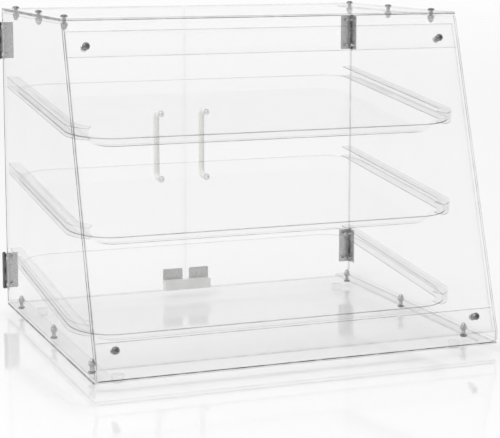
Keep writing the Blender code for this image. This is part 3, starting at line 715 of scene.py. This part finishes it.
def paint_knuckle_shade():
    """Darken the curled knuckles round the pin with painted shade."""
    tree = hinge_steel.node_tree
    shader = tree.nodes["Principled BSDF"]
    tone = shader.inputs["Base Color"].links[0].from_socket
    place = add(tree, "SeparateXYZ", {0: add(tree, "TexCoord").outputs["Object"]}).outputs
    low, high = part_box("right_upper_hinge_pin")
    middle = (low + high) / 2
    across = math_node(tree, "SUBTRACT", math_node(tree, "ABSOLUTE", place["X"]), middle.x)
    back = math_node(tree, "SUBTRACT", place["Y"], middle.y)
    spread = math_node(tree, "SQRT", math_node(tree, "ADD", math_node(tree, "POWER", across, 2.0),
                                               math_node(tree, "POWER", back, 2.0)))
    knuckle_radius, blend_end = 2.4 * mm, 3.4 * mm
    # Painted shade: the hinge steel turns dark within the knuckle's radius of the pin.
    dark = ramp(tree, spread, knuckle_radius, blend_end, 1.0, 0.0)
    tree.links.new(blend_colour(tree, dark, tone, grey(0.13)), shader.inputs["Base Color"])


handle_plastic = plastic_material("handle_plastic", (0.88, 0.875, 0.85), (0.93, 0.925, 0.9), 0.35)
catch_plastic = plastic_material("catch_plastic", (0.78, 0.78, 0.77), (0.84, 0.84, 0.83), 0.4)
handle_screw_steel = metal_material("handle_screw_steel", 0.84, 0.92, 0.3)
hinge_steel = metal_material("hinge_steel", 0.56, 0.68, 0.3, 160.0, (1, 1, 12))
strike_steel = metal_material("strike_steel", 0.58, 0.68, 0.3, 160.0, (12, 1, 1))
# Painted shade on the hinges' curled knuckles.
paint_knuckle_shade()
magnet_steel = metal_material("magnet_steel", 0.2, 0.3, 0.4)
for side_name in sides:
    make_handle(side_name)
    for level in ("lower", "upper"):
        make_handle_screw(f"{side_name}_handle_{level}_screw")
    nodes[f"{side_name}_strike_plate"].material_slots[0].material = strike_steel
    nodes[f"{side_name}_catch_magnet"].material_slots[0].material = magnet_steel
    soften(nodes[f"{side_name}_strike_plate"], 0.3 * mm)
    soften(nodes[f"{side_name}_catch_magnet"], 0.3 * mm)
nodes["catch_body"].material_slots[0].material = catch_plastic
soften(nodes["catch_body"], 0.5 * mm)
for name, node in nodes.items():
    if "hinge" in name:
        node.material_slots[0].material = hinge_steel
        if name.endswith("leaf"):
            soften(node, 0.15 * mm, 2)


# Studio
def make_floor():
    mesh = bpy.data.meshes.new("studio_floor")
    half = 12.0
    mesh.from_pydata([(-half, -half, 0), (half, -half, 0), (half, half, 0), (-half, half, 0)],
                     [], [(0, 1, 2, 3)])
    floor = bpy.data.objects.new("studio_floor", mesh)
    bpy.context.scene.collection.objects.link(floor)
    material, tree, shader = new_material("studio_floor")
    place = add(tree, "TexCoord").outputs["Object"]
    grain = add(tree, "TexNoise", {"Vector": place, "Scale": 2.0, "Detail": 2.0}).outputs["Fac"]
    tone = add(tree, "Mix", {0: grain, 6: grey(0.94), 7: grey(0.96)}, data_type="RGBA")
    tree.links.new(tone.outputs[2], shader.inputs["Base Color"])
    shader.inputs["Roughness"].default_value = 0.06
    mesh.materials.append(material)


def make_world():
    world = bpy.data.worlds.new("studio_light")
    world.use_nodes = True
    tree = world.node_tree
    background = tree.nodes["Background"]
    path = add(tree, "LightPath")
    seen = math_node(tree, "MAXIMUM", path.outputs["Is Camera Ray"], path.outputs["Is Transmission Ray"])
    direction = add(tree, "SeparateXYZ", {0: add(tree, "TexCoord").outputs["Generated"]}).outputs
    from_behind = ramp(tree, direction["Y"], -0.9, 0.3, 0.6, 1.0)
    tree.links.new(add(tree, "Mix", {0: seen, 2: from_behind, 3: 1.0}, data_type="FLOAT").outputs[0],
                   background.inputs["Strength"])
    background.inputs["Color"].default_value = (1, 1, 1, 1)
    bpy.context.scene.world = world


def make_lamp(name, place, target, size, power):
    light = bpy.data.lights.new(name, "AREA")
    light.size = size
    light.energy = power
    lamp = bpy.data.objects.new(name, light)
    lamp.location = place
    lamp.rotation_euler = (Vector(target) - Vector(place)).to_track_quat("-Z", "Y").to_euler()
    bpy.context.scene.collection.objects.link(lamp)


def make_camera():
    camera = bpy.data.cameras.new("photo_camera")
    camera.sensor_width = 36
    camera.lens = 115.11
    camera.shift_x = 0.02
    camera.shift_y = -0.1
    camera.clip_start = 0.05
    item = bpy.data.objects.new("photo_camera", camera)
    item.location = (-0.7537, -1.9819, 0.5244)
    item.rotation_euler = (math.radians(90 - 8.203), 0, -math.radians(20.977))
    bpy.context.scene.collection.objects.link(item)
    bpy.context.scene.camera = item


make_floor()
make_world()
make_lamp("key_lamp", (-1.6, -1.4, 2.4), (0, 0, 0.2), 1.6, 22)
make_camera()
bpy.context.scene.view_settings.view_transform = "Standard"
bpy.context.scene.cycles.transparent_max_bounces = 64
